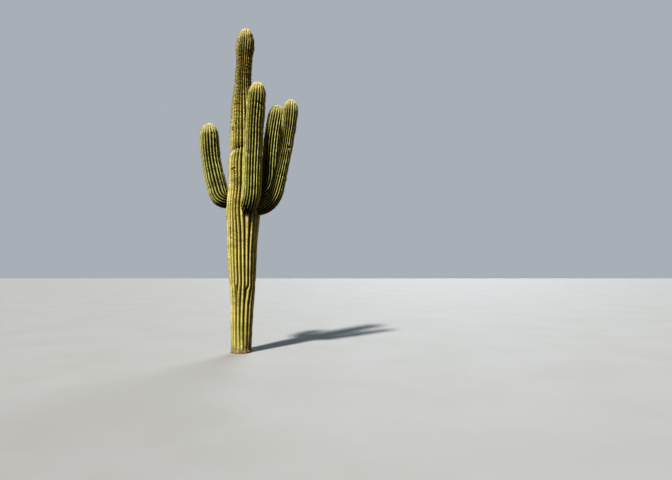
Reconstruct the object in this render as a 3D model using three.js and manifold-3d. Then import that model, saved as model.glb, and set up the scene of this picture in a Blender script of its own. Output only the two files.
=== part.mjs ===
// A saguaro cactus: one ribbed trunk and four arms, each an elbow and an upright.
// Millimetres, +Z up. The origin is the middle of the flat cut at ground level.
// Angles are in degrees, and a bearing is counted from +X towards +Y.

import * as THREE from 'three';
import { mergeVertices } from 'three/addons/utils/BufferGeometryUtils.js';
import Module from 'manifold-3d';

const wasm = await Module();
wasm.setup();

// The trunk: its height, and its radius at the rib crests by height, up to the rounded tip
const TRUNK_HEIGHT = 6360;
const TRUNK_TIP_LENGTH = 360;
const TRUNK_GIRTH = [
  [0, 208],
  [80, 193],
  [300, 197],
  [600, 209],
  [950, 220],
  [1200, 238],
  [1550, 261],
  [2040, 283],
  [2580, 312],
  [2850, 304],
  [3210, 264],
  [3660, 260],
  [3840, 251],
  [3918, 221],
  [3996, 248],
  [4390, 242],
  [4850, 210],
  [5230, 155],
  [5670, 144],
  [5900, 172],
  [6000, 172],
];

// How far the trunk's middle strays from the plumb line: height, along X, along Y
const TRUNK_SWAY = [
  [0, 0, 0],
  [600, -3, 4],
  [1150, 7, 7],
  [1850, -5, 0],
  [2600, 2, -6],
  [3900, 0, 0],
  [5250, -14, 8],
  [5650, 0, 4],
  [6060, 22, -4],
  [6360, 34, -8],
];

// The trunk's ribs: sixteen from the foot up, and six late ones that start higher, each given
// with the height where it starts. Depth is from crest to valley, by height.
const TRUNK_RIBS = 22;
const TRUNK_RIB_COLUMNS = 4;
const TRUNK_RIB_BEARING = -68;
const TRUNK_RIB_DEPTH = [
  [0, 7],
  [300, 15],
  [700, 30],
  [1500, 38],
  [2600, 44],
  [4000, 38],
  [5200, 26],
  [6360, 24],
];
const LATE_RIBS = new Map([
  [0, 1150],
  [4, 1240],
  [8, 1110],
  [11, 1310],
  [15, 1200],
  [19, 1165],
]);
const LATE_RIB_RISE = 330;
const LATE_RIB_FOOT_SHARE = 0.22;

// The arms: where each leaves the trunk, its heading above level along its length, and its radii
const ARMS = [
  {
    name: 'left',
    bearing: 178,
    rootHeight: 2947,
    startHeading: 10,
    bendFrom: 57,
    bendLength: 403,
    bentHeading: 74,
    tipHeading: 90,
    length: 1728,
    elbowRadius: 172,
    waistRadius: 174,
    crownRadius: 177,
  },
  {
    name: 'front',
    bearing: -60,
    rootHeight: 2713,
    startHeading: 26,
    bendFrom: 0,
    bendLength: 617,
    bentHeading: 87,
    tipHeading: 77,
    length: 2494,
    elbowRadius: 152,
    waistRadius: 157,
    crownRadius: 170,
  },
  {
    name: 'right_front',
    bearing: -5,
    rootHeight: 2727,
    startHeading: 11,
    bendFrom: 47,
    bendLength: 706,
    bentHeading: 76.5,
    tipHeading: 85.5,
    length: 2489,
    elbowRadius: 133,
    waistRadius: 122,
    crownRadius: 149,
  },
  {
    name: 'right_rear',
    bearing: 45,
    rootHeight: 2977,
    startHeading: 16,
    bendFrom: 104,
    bendLength: 760,
    bentHeading: 87,
    tipHeading: 78,
    length: 2334,
    elbowRadius: 152,
    waistRadius: 161,
    crownRadius: 165,
  },
];

// What the arms share. Each starts inside the trunk with a narrow neck, and has its full elbow
// radius part of the way round the bend. The crown and the tip are given in crown radii.
const ARM_ROOT_OUT = 160;
const ARM_RIBS = 18;
const ARM_RIB_COLUMNS = 3;
const ARM_RIB_DEPTH = 34;
const ARM_NECK_SHARE = 0.78;
const ARM_SWELL_PLACE = 0.45;
const ARM_CROWN_BELOW_TIP = 2.2;
const ARM_TIP_SHARE = 1.85;

// Two nest holes in the trunk, side by side: the bearings and heights of their mouths
const NEST_HOLES = [
  { bearing: -130, height: 3516 },
  { bearing: -117, height: 3532 },
];
const NEST_HOLE_RADIUS = 23;
const NEST_HOLE_DEPTH = 75;
const NEST_HOLE_SIDES = 12;

// Clearance where one piece meets another, and where an elbow meets the trunk's steep rib flanks
const GAP = 0.3;
const RIB_GAP = 0.7;

// How finely the solids are cut, and how near two points are one point
const LONGEST_BAND = 270;
const ELBOW_BANDS = 8;
const UPRIGHT_BANDS = 6;
const TIP_BANDS = 6;
const PATH_STEP = 5;
const SAME_POINT = 0.001;

// A rib's crest is flat beyond this share of a half wave, and a tip is rounded by this power
const CREST_SHARE = Math.sin(Math.PI / 3);
const TIP_ROUNDNESS = 0.46;

// Skin colours, and how dull the skin is
const TRUNK_COLOR = '#8b8350';
const ELBOW_COLOR = '#7f7a43';
const UPRIGHT_COLOR = '#757239';
const SKIN_ROUGHNESS = 0.8;

const UP = new THREE.Vector3(0, 0, 1);

// A smooth value between stations: each station is a place followed by its values
function between(stations, at, value = 1) {
  const last = stations.length - 1;
  let low = 0;
  while (low < last - 1 && at > stations[low + 1][0]) low += 1;
  const slope = (station) => {
    const before = stations[Math.max(station - 1, 0)];
    const after = stations[Math.min(station + 1, last)];
    return (after[value] - before[value]) / (after[0] - before[0]);
  };
  const width = stations[low + 1][0] - stations[low][0];
  const t = THREE.MathUtils.clamp((at - stations[low][0]) / width, 0, 1);
  const rise = (stations[low + 1][value] - stations[low][value]) * t * t * (3 - 2 * t);
  const leave = slope(low) * width * t * (1 - t) * (1 - t);
  const arrive = slope(low + 1) * width * t * t * (1 - t);
  return stations[low][value] + rise + leave - arrive;
}

// How full a rounded tip still is, from 1 where it starts to 0 at its end
function tipFullness(left, tipLength) {
  const past = 1 - THREE.MathUtils.clamp(left / tipLength, 0, 1);
  return Math.pow(1 - past * past, TIP_ROUNDNESS);
}

// Places along a limb's rounded tip, closer together towards its end, which is left out
function tipPlaces(start, tipLength) {
  const places = [];
  for (let band = 0; band < TIP_BANDS; band += 1) {
    places.push(start + tipLength * Math.sin((band / TIP_BANDS) * (Math.PI / 2)));
  }
  return places;
}

// How high a rib stands, from 0 in the valley to 1 at its crest, by how far across it is
function ribRise(across) {
  return Math.min(1, Math.sin(Math.PI * across) / CREST_SHARE);
}

// A closed limb through rings of points. Each ring has a centre, two directions across the limb
// and an outline, which gives an angle and a radius for each column. A tip closes the far end.
function limbGeometry(rings, columns, tip) {
  const profile = [new THREE.Vector2(0, 0)];
  rings.forEach((ring, level) => profile.push(new THREE.Vector2(1, level)));
  profile.push(new THREE.Vector2(0, rings.length - 1));
  const geometry = new THREE.LatheGeometry(profile, columns);
  const position = geometry.getAttribute('position');
  const point = new THREE.Vector3();
  for (let column = 0; column <= columns; column += 1) {
    const first = column * profile.length;
    position.setXYZ(first, ...rings[0].centre.toArray());
    rings.forEach((ring, level) => {
      const { angle, radius } = ring.outline(column % columns);
      point.copy(ring.centre);
      point.addScaledVector(ring.across, radius * Math.cos(angle));
      point.addScaledVector(ring.beside, radius * Math.sin(angle));
      position.setXYZ(first + 1 + level, point.x, point.y, point.z);
    });
    position.setXYZ(first + profile.length - 1, tip.x, tip.y, tip.z);
  }
  return geometry;
}

// A solid for cutting and joining, from a closed geometry
function solidOf(geometry) {
  const bare = new THREE.BufferGeometry();
  bare.setAttribute('position', geometry.getAttribute('position'));
  bare.setIndex(geometry.getIndex());
  const merged = mergeVertices(bare, SAME_POINT);
  const corners = merged.getIndex().array;
  const kept = [];
  for (let i = 0; i < corners.length; i += 3) {
    const [a, b, c] = corners.subarray(i, i + 3);
    if (a !== b && b !== c && c !== a) kept.push(a, b, c);
  }
  return new wasm.Manifold(
    new wasm.Mesh({
      numProp: 3,
      vertProperties: merged.getAttribute('position').array,
      triVerts: new Uint32Array(kept),
    }),
  );
}

// The largest body of a solid, without the loose slivers that a cut leaves in a rib valley
function largestBody(solid) {
  const bodies = solid.decompose();
  return bodies.reduce((best, body) => (body.volume() > best.volume() ? body : best));
}

// The geometry of a solid
function geometryOf(solid) {
  const mesh = solid.getMesh();
  const geometry = new THREE.BufferGeometry();
  geometry.setAttribute('position', new THREE.BufferAttribute(mesh.vertProperties, 3));
  geometry.setIndex(new THREE.BufferAttribute(mesh.triVerts, 1));
  geometry.computeVertexNormals();
  return geometry;
}

// The share of a full rib's width that each trunk rib has at a height
function ribShares(height) {
  return Array.from({ length: TRUNK_RIBS }, (unused, rib) => {
    if (!LATE_RIBS.has(rib)) return 1;
    const start = LATE_RIBS.get(rib);
    return THREE.MathUtils.smoothstep(height, start, start + LATE_RIB_RISE);
  });
}

// The middle of the trunk at a height
function trunkCentre(height) {
  return new THREE.Vector3(between(TRUNK_SWAY, height, 1), between(TRUNK_SWAY, height, 2), height);
}

// The radius of the trunk at its rib crests
function trunkRadius(height) {
  const tipStart = TRUNK_HEIGHT - TRUNK_TIP_LENGTH;
  const girth = between(TRUNK_GIRTH, Math.min(height, tipStart));
  return girth * tipFullness(TRUNK_HEIGHT - height, TRUNK_TIP_LENGTH);
}

// One ring round the trunk, grown outwards by a clearance
function trunkRing(height, grow) {
  const shares = ribShares(height);
  const widths = shares.map((share) => LATE_RIB_FOOT_SHARE + (1 - LATE_RIB_FOOT_SHARE) * share);
  const turn = (2 * Math.PI) / widths.reduce((sum, width) => sum + width, 0);
  const starts = [THREE.MathUtils.degToRad(TRUNK_RIB_BEARING)];
  widths.forEach((width, rib) => starts.push(starts[rib] + width * turn));
  const radius = trunkRadius(height);
  const depth = between(TRUNK_RIB_DEPTH, height) * Math.min(1, radius / between(TRUNK_GIRTH, height));
  return {
    centre: trunkCentre(height),
    across: new THREE.Vector3(1, 0, 0),
    beside: new THREE.Vector3(0, 1, 0),
    outline: (column) => {
      const rib = Math.floor(column / TRUNK_RIB_COLUMNS);
      const across = (column % TRUNK_RIB_COLUMNS) / TRUNK_RIB_COLUMNS;
      return {
        angle: starts[rib] + across * widths[rib] * turn,
        radius: radius - depth * (1 - shares[rib] * ribRise(across)) + grow,
      };
    },
  };
}

// The heights of the trunk's rings: every station of its girth, long bands divided, then the tip
function trunkHeights() {
  const heights = [];
  for (let i = 0; i + 1 < TRUNK_GIRTH.length; i += 1) {
    const low = TRUNK_GIRTH[i][0];
    const high = TRUNK_GIRTH[i + 1][0];
    const bands = Math.ceil((high - low) / LONGEST_BAND);
    for (let band = 0; band < bands; band += 1) {
      heights.push(low + ((high - low) * band) / bands);
    }
  }
  return [...heights, ...tipPlaces(TRUNK_HEIGHT - TRUNK_TIP_LENGTH, TRUNK_TIP_LENGTH)];
}

// The trunk, whole, or grown by a clearance to cut the elbows with
function trunkSolid(grow = 0) {
  const rings = trunkHeights().map((height) => trunkRing(height, grow));
  return solidOf(limbGeometry(rings, TRUNK_RIBS * TRUNK_RIB_COLUMNS, trunkCentre(TRUNK_HEIGHT)));
}

// One nest hole: a cylinder laid along its bearing, from outside the bark to the hole's end
function nestHole({ bearing, height }) {
  const mouth = trunkRadius(height);
  const length = 2 * NEST_HOLE_DEPTH;
  const hole = new THREE.CylinderGeometry(NEST_HOLE_RADIUS, NEST_HOLE_RADIUS, length, NEST_HOLE_SIDES);
  hole.rotateZ(-Math.PI / 2);
  hole.translate(mouth, 0, height);
  hole.rotateZ(THREE.MathUtils.degToRad(bearing));
  return solidOf(hole);
}

// The heading of an arm above level at a distance along it, in radians
function armHeading(arm, along) {
  const bendEnd = arm.bendFrom + arm.bendLength;
  const bend = THREE.MathUtils.smoothstep(along, arm.bendFrom, bendEnd);
  const rest = THREE.MathUtils.smoothstep(along, bendEnd, arm.length);
  const heading = THREE.MathUtils.lerp(arm.startHeading, arm.bentHeading, bend);
  return THREE.MathUtils.degToRad(heading + (arm.tipHeading - arm.bentHeading) * rest);
}

// The middle of an arm at a distance along it
function armCentre(arm, along) {
  const steps = Math.max(1, Math.ceil(along / PATH_STEP));
  let out = ARM_ROOT_OUT;
  let height = arm.rootHeight;
  for (let step = 0; step < steps; step += 1) {
    const heading = armHeading(arm, ((step + 0.5) * along) / steps);
    out += (Math.cos(heading) * along) / steps;
    height += (Math.sin(heading) * along) / steps;
  }
  const bearing = THREE.MathUtils.degToRad(arm.bearing);
  return new THREE.Vector3(out * Math.cos(bearing), out * Math.sin(bearing), height);
}

// The radius of an arm at its rib crests, at a distance along it
function armRadius(arm, along) {
  const swell = arm.bendFrom + ARM_SWELL_PLACE * arm.bendLength;
  const stations = [
    [0, ARM_NECK_SHARE * arm.elbowRadius],
    [swell, arm.elbowRadius],
    [(swell + arm.length) / 2, arm.waistRadius],
    [arm.length - ARM_CROWN_BELOW_TIP * arm.crownRadius, arm.crownRadius],
    [arm.length, arm.crownRadius],
  ];
  return between(stations, along) * tipFullness(arm.length - along, ARM_TIP_SHARE * arm.crownRadius);
}

// One ring round an arm
function armRing(arm, along) {
  const heading = armHeading(arm, along);
  const bearing = THREE.MathUtils.degToRad(arm.bearing);
  const out = new THREE.Vector3(Math.cos(bearing), Math.sin(bearing), 0);
  const across = UP.clone().multiplyScalar(Math.cos(heading));
  across.addScaledVector(out, -Math.sin(heading));
  const radius = armRadius(arm, along);
  const depth = ARM_RIB_DEPTH * Math.min(1, radius / arm.waistRadius);
  return {
    centre: armCentre(arm, along),
    across,
    beside: new THREE.Vector3().crossVectors(out, UP),
    outline: (column) => ({
      angle: (2 * Math.PI * column) / (ARM_RIBS * ARM_RIB_COLUMNS),
      radius: radius - depth * (1 - ribRise((column % ARM_RIB_COLUMNS) / ARM_RIB_COLUMNS)),
    }),
  };
}

// A stretch of an arm through rings at the places given, flat at its near end
function armSolid(arm, places, tip) {
  const rings = places.map((along) => armRing(arm, along));
  return solidOf(limbGeometry(rings, ARM_RIBS * ARM_RIB_COLUMNS, tip));
}

// Evenly spaced places from one distance along an arm to another
function evenPlaces(from, to, bands) {
  return Array.from({ length: bands + 1 }, (unused, i) => from + ((to - from) * i) / bands);
}

// The elbow of an arm, from inside the trunk to the flat end of its bend, cut clear of the trunk
function elbowSolid(arm, trunkToClear) {
  const bendEnd = arm.bendFrom + arm.bendLength;
  const whole = armSolid(arm, evenPlaces(0, bendEnd, ELBOW_BANDS), armCentre(arm, bendEnd));
  return largestBody(whole.subtract(trunkToClear));
}

// The upright of an arm, from the flat start above its bend to the rounded tip
function uprightSolid(arm) {
  const start = arm.bendFrom + arm.bendLength + GAP;
  const tipLength = ARM_TIP_SHARE * arm.crownRadius;
  const tipStart = arm.length - tipLength;
  const places = evenPlaces(start, tipStart, UPRIGHT_BANDS).slice(0, -1);
  return armSolid(arm, [...places, ...tipPlaces(tipStart, tipLength)], armCentre(arm, arm.length));
}

// A finished piece with its own name and colour
function piece(name, solid, color) {
  const skin = new THREE.MeshStandardMaterial({ color, roughness: SKIN_ROUGHNESS, metalness: 0 });
  const mesh = new THREE.Mesh(geometryOf(solid), skin);
  mesh.name = name;
  return mesh;
}

const group = new THREE.Group();
const trunk = NEST_HOLES.reduce((rest, hole) => rest.subtract(nestHole(hole)), trunkSolid());
group.add(piece('trunk', trunk, TRUNK_COLOR));
const trunkToClear = trunkSolid(RIB_GAP);
ARMS.forEach((arm) => {
  group.add(piece(`${arm.name}_arm_elbow`, elbowSolid(arm, trunkToClear), ELBOW_COLOR));
  group.add(piece(`${arm.name}_arm_upright`, uprightSolid(arm), UPRIGHT_COLOR));
});

export default group;
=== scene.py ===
"""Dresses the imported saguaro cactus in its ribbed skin, areoles and spines, in a plain studio.

Metres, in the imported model's frame: +Z up, the origin in the middle of the trunk's foot, the
photograph's viewer at -Y and +X to that viewer's right. Bearings are degrees from +X towards +Y.
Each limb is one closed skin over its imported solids, made from their driving sizes, some of them
fitted a few centimetres closer to the photograph.
"""

import sys
import logging
import math
from abc import ABC, abstractmethod
from collections.abc import Iterator, Mapping, Sequence
from dataclasses import dataclass, field
from enum import Enum

import bpy
import numpy as np
from numpy.typing import NDArray
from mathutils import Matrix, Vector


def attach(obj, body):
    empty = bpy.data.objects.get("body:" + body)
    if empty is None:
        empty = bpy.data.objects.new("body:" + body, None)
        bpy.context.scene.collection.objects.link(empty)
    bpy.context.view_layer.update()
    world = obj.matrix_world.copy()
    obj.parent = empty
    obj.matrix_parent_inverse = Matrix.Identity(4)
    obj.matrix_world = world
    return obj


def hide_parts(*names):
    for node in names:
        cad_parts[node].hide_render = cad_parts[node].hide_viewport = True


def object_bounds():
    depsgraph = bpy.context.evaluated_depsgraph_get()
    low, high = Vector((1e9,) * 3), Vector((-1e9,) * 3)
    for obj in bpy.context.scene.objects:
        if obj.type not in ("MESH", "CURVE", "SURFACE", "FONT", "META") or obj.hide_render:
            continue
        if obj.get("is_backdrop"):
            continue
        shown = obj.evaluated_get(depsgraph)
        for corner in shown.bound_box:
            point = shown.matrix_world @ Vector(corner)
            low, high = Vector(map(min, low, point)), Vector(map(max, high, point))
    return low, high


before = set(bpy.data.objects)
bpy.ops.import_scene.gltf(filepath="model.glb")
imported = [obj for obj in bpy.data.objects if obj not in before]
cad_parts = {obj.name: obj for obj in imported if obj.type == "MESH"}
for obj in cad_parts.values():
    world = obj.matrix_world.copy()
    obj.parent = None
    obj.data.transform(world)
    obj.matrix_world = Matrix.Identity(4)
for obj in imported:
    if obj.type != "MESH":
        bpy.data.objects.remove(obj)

Floats = NDArray[np.float64]
Whole = NDArray[np.int64]
Stations = tuple[tuple[float, ...], ...]
Colour = tuple[float, float, float]
Span = tuple[float, float]
Cells = tuple[int, float]

CAD_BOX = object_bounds()
PHOTO_WIDTH = 672
TURN = 2 * math.pi
GOLDEN_ANGLE = math.radians(137.508)

log = logging.getLogger("saguaro")


def srgb(red: int, green: int, blue: int) -> Colour:
    """Turns a screen colour, 0 to 255 a channel, into the linear one that a shader takes."""
    shares = (channel / 255 for channel in (red, green, blue))
    return tuple(s / 12.92 if s <= 0.04045 else ((s + 0.055) / 1.055) ** 2.4 for s in shares)


def smoothstep(value: Floats, low: float, high: float) -> Floats:
    """Eases from 0 at low to 1 at high."""
    share = np.clip((value - low) / (high - low), 0, 1)
    return share * share * (3 - 2 * share)


def between(stations: Stations, at: Floats, value: int = 1) -> Floats:
    """Reads a smooth value between stations.

    Args:
        stations: Rows of a place and its values, by rising place.
        at: The places to read at.
        value: Which value of a row to read.

    Returns:
        The value at each place, level before the first station and after the last.
    """
    table = np.array(stations, float)
    place, worth = table[:, 0], table[:, value]
    rows = np.arange(len(place))
    before = np.maximum(rows - 1, 0)
    after = np.minimum(rows + 1, len(place) - 1)
    slope = (worth[after] - worth[before]) / (place[after] - place[before])
    low = np.clip(np.searchsorted(place, at) - 1, 0, len(place) - 2)
    width = place[low + 1] - place[low]
    share = np.clip((at - place[low]) / width, 0, 1)
    rise = (worth[low + 1] - worth[low]) * share * share * (3 - 2 * share)
    leave = slope[low] * width * share * (1 - share) ** 2
    arrive = slope[low + 1] * width * share**2 * (1 - share)
    return worth[low] + rise + leave - arrive


def wrapped(angle: Floats) -> Floats:
    """Brings angles into the half turn on each side of 0."""
    return (angle + math.pi) % TURN - math.pi


def copies(pattern: Sequence[Sequence[int]], count: int) -> Whole:
    """Repeats the triangles of a small mesh.

    Args:
        pattern: The corners of its triangles, counted from 0.
        count: How many copies there are, their points one after another.

    Returns:
        The corners of all the triangles.
    """
    corners = np.array(pattern)
    first = (corners.max() + 1) * np.arange(count)
    return (first[:, None, None] + corners).reshape(-1, 3)


@dataclass(frozen=True)
class Grain:
    """Smooth seeded noise over a limb's skin that closes on itself round the limb."""

    seed: int
    around: int
    cell: float
    rows: int = 640

    def at(self, turn: Floats, along: Floats) -> Floats:
        """Reads the noise.

        Args:
            turn: How far round the limb, as a share of a full turn.
            along: How far along the limb.

        Returns:
            The noise, from -1 to 1.
        """
        lattice = np.random.default_rng(self.seed).uniform(-1, 1, (self.rows, self.around))
        x = (turn % 1) * self.around
        y = (along / self.cell) % (self.rows - 1)
        column, row = np.floor(x).astype(int), np.floor(y).astype(int)
        across, up = smoothstep(x - column, 0, 1), smoothstep(y - row, 0, 1)
        left, right = column % self.around, (column + 1) % self.around
        low = lattice[row, left] * (1 - across) + lattice[row, right] * across
        high = lattice[row + 1, left] * (1 - across) + lattice[row + 1, right] * across
        return low * (1 - up) + high * up


@dataclass
class Shape:
    """The points and faces of a mesh, with what its materials read from it."""

    points: Floats
    faces: list[Whole]
    uv: Floats | None = None
    values: dict[str, Floats] = field(default_factory=dict)
    slots: Whole | None = None
    smooth: bool = False

    def make(self, name: str, materials: Sequence[bpy.types.Material]) -> bpy.types.Object:
        """Makes the mesh object and links it to the scene.

        Args:
            name: The piece's name.
            materials: Its materials, in the order that slots counts them.

        Returns:
            The new object.
        """
        mesh = bpy.data.meshes.new(name)
        corners = np.concatenate([f.ravel() for f in self.faces])
        sizes = np.concatenate([np.full(len(f), f.shape[1]) for f in self.faces])
        mesh.vertices.add(len(self.points))
        mesh.vertices.foreach_set("co", self.points.astype(np.float32).ravel())
        mesh.loops.add(len(corners))
        mesh.loops.foreach_set("vertex_index", corners.astype(np.int32))
        mesh.polygons.add(len(sizes))
        mesh.polygons.foreach_set("loop_start", (np.cumsum(sizes) - sizes).astype(np.int32))
        if self.slots is not None:
            mesh.polygons.foreach_set("material_index", self.slots.astype(np.int32))
        mesh.update(calc_edges=True)
        for key, value in self.values.items():
            layer = mesh.attributes.new(key, "FLOAT", "POINT")
            layer.data.foreach_set("value", value.astype(np.float32))
        if self.uv is not None:
            layer = mesh.uv_layers.new(name="OFBake")
            layer.data.foreach_set("uv", self.uv.astype(np.float32).ravel())
        mesh.polygons.foreach_set("use_smooth", np.full(len(sizes), self.smooth))
        for material in materials:
            mesh.materials.append(material)
        piece = bpy.data.objects.new(name, mesh)
        bpy.context.scene.collection.objects.link(piece)
        return piece


class Value:
    """A number that a material works out over its surface, for use in Python expressions."""

    def __init__(self, tree: bpy.types.NodeTree, socket: bpy.types.NodeSocket) -> None:
        """Wraps a socket of a node tree."""
        self.tree = tree
        self.socket = socket

    def _math(self, operation: str, first: "Value | float", second: "Value | float") -> "Value":
        """Adds one Math node.

        Args:
            operation: The node's operation.
            first: Its first number.
            second: Its second number.

        Returns:
            What the node gives.
        """
        node = self.tree.nodes.new("ShaderNodeMath")
        node.operation = operation
        for socket, number in zip(node.inputs, (first, second)):
            if isinstance(number, Value):
                self.tree.links.new(number.socket, socket)
            else:
                socket.default_value = number
        return Value(self.tree, node.outputs[0])

    def __add__(self, other: "Value | float") -> "Value":
        """Adds."""
        return self._math("ADD", self, other)

    def __radd__(self, other: float) -> "Value":
        """Adds to a plain number."""
        return self._math("ADD", other, self)

    def __sub__(self, other: "Value | float") -> "Value":
        """Subtracts."""
        return self._math("SUBTRACT", self, other)

    def __rsub__(self, other: float) -> "Value":
        """Subtracts from a plain number."""
        return self._math("SUBTRACT", other, self)

    def __mul__(self, other: "Value | float") -> "Value":
        """Multiplies."""
        return self._math("MULTIPLY", self, other)

    def __rmul__(self, other: float) -> "Value":
        """Multiplies a plain number."""
        return self._math("MULTIPLY", other, self)

    def most(self, other: "Value | float") -> "Value":
        """Takes the larger of the two."""
        return self._math("MAXIMUM", self, other)

    def eased(self, low: float, high: float, full: float) -> "Value":
        """Eases from 0 at low to its full worth at high.

        Args:
            low: Where it starts to rise.
            high: Where it is full.
            full: What it is worth there.

        Returns:
            The eased number.
        """
        node = self.tree.nodes.new("ShaderNodeMapRange")
        node.interpolation_type = "SMOOTHSTEP"
        self.tree.links.new(self.socket, node.inputs["Value"])
        node.inputs["From Min"].default_value = low
        node.inputs["From Max"].default_value = high
        node.inputs["To Max"].default_value = full
        return Value(self.tree, node.outputs["Result"])


Feed = Value | bpy.types.NodeSocket | float | Sequence[float]


class Nodes:
    """Adds nodes to one node tree."""

    def __init__(self, tree: bpy.types.NodeTree, shader: str) -> None:
        """Starts from a tree's own first shader.

        Args:
            tree: The node tree.
            shader: The type of the shader that it came with.
        """
        self.tree = tree
        self.shader = next(n for n in tree.nodes if n.type == shader)

    def node(
        self, kind: str, settings: Mapping[str, object], inputs: Mapping[str, Feed]
    ) -> bpy.types.Node:
        """Adds a node.

        Args:
            kind: The node's type.
            settings: Its settings, set before its sockets.
            inputs: What each socket is fed, by the socket's identifier.

        Returns:
            The new node.
        """
        node = self.tree.nodes.new(kind)
        for key, value in settings.items():
            setattr(node, key, value)
        for key, feed in inputs.items():
            self.feed(next(s for s in node.inputs if s.identifier == key), feed)
        return node

    def feed(self, socket: bpy.types.NodeSocket, feed: Feed) -> None:
        """Links a socket to what feeds it, or sets its value.

        Args:
            socket: The socket.
            feed: What feeds it.
        """
        if isinstance(feed, Value):
            self.tree.links.new(feed.socket, socket)
        elif isinstance(feed, bpy.types.NodeSocket):
            self.tree.links.new(feed, socket)
        elif socket.type == "RGBA":
            socket.default_value = (*feed, 1.0)
        else:
            socket.default_value = feed


class Paint(Nodes):
    """Builds one material out of nodes."""

    def __init__(self, name: str) -> None:
        """Starts a material with one shader.

        Args:
            name: The material's name.
        """
        self.material = bpy.data.materials.new(name)
        self.material.use_nodes = True
        super().__init__(self.material.node_tree, "BSDF_PRINCIPLED")

    def finish(self, **inputs: Feed) -> bpy.types.Material:
        """Feeds the shader's sockets.

        Args:
            inputs: What each is fed, by its name with underscores for spaces.

        Returns:
            The material.
        """
        for key, feed in inputs.items():
            self.feed(self.shader.inputs[key.replace("_", " ")], feed)
        return self.material

    def number(self, name: str) -> Value:
        """Reads a number that the mesh holds at each point."""
        node = self.node("ShaderNodeAttribute", {"attribute_name": name}, {})
        return Value(self.tree, node.outputs["Fac"])

    def place(self) -> bpy.types.NodeSocket:
        """Gives the place on the piece, in metres."""
        return self.node("ShaderNodeTexCoord", {}, {}).outputs["Object"]

    def point(self, x: Feed, y: Feed, z: Feed) -> bpy.types.NodeSocket:
        """Puts three numbers together as a place."""
        return self.node("ShaderNodeCombineXYZ", {}, {"X": x, "Y": y, "Z": z}).outputs[0]

    def noise(self, at: Feed, scale: float, detail: float, rough: float) -> Value:
        """Adds cloudy noise.

        Args:
            at: Where it is read.
            scale: Cells a metre.
            detail: How many finer layers it has.
            rough: How strong each finer layer is.

        Returns:
            The noise, mostly from 0.3 to 0.7.
        """
        sockets = {"Vector": at, "Scale": scale, "Detail": detail, "Roughness": rough}
        node = self.node("ShaderNodeTexNoise", {}, sockets)
        return Value(self.tree, node.outputs[0])

    def mix(self, share: Feed, first: Feed, second: Feed) -> bpy.types.NodeSocket:
        """Mixes two colours.

        Args:
            share: How much of the second shows.
            first: The first colour.
            second: The second colour.

        Returns:
            The mixed colour.
        """
        sockets = {"Factor_Float": share, "A_Color": first, "B_Color": second}
        node = self.node("ShaderNodeMix", {"data_type": "RGBA"}, sockets)
        return next(s for s in node.outputs if s.identifier == "Result_Color")

    def bump(self, height: Value, distance: float, strength: float) -> bpy.types.NodeSocket:
        """Turns a height into a bumped normal.

        Args:
            height: The height, in steps of distance.
            distance: How far a height of 1 stands out.
            strength: How strongly it shows.

        Returns:
            The normal.
        """
        sockets = {"Strength": strength, "Distance": distance, "Height": height}
        return self.node("ShaderNodeBump", {}, sockets).outputs["Normal"]


@dataclass(frozen=True)
class Cloud:
    """Noise over a piece: cells a metre, how many finer layers it has and how strong each is."""

    scale: float
    detail: float
    rough: float = 0.55

    def on(self, paint: Paint) -> Value:
        """Adds the noise to a material."""
        return paint.noise(paint.place(), self.scale, self.detail, self.rough)


@dataclass(frozen=True)
class Streaks:
    """Noise along a limb: cells round it, cells a metre up it, and its finer layers."""

    around: float
    upward: float
    detail: float
    rough: float = 0.55

    def on(self, paint: Paint, turn: Value, below: Value) -> Value:
        """Adds the noise to a material."""
        at = paint.point(turn * self.around, 0.0, below * self.upward)
        return paint.noise(at, 1.0, self.detail, self.rough)


@dataclass(frozen=True)
class Layer:
    """A layer of colour: how much it covers, and where what it follows starts and ends."""

    cover: float
    start: float
    end: float

    def rising(self, value: Value) -> Value:
        """Covers more as the value rises."""
        return value.eased(self.start, self.end, self.cover)

    def falling(self, value: Value) -> Value:
        """Covers less as the value rises."""
        return self.cover - self.rising(value)


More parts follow.
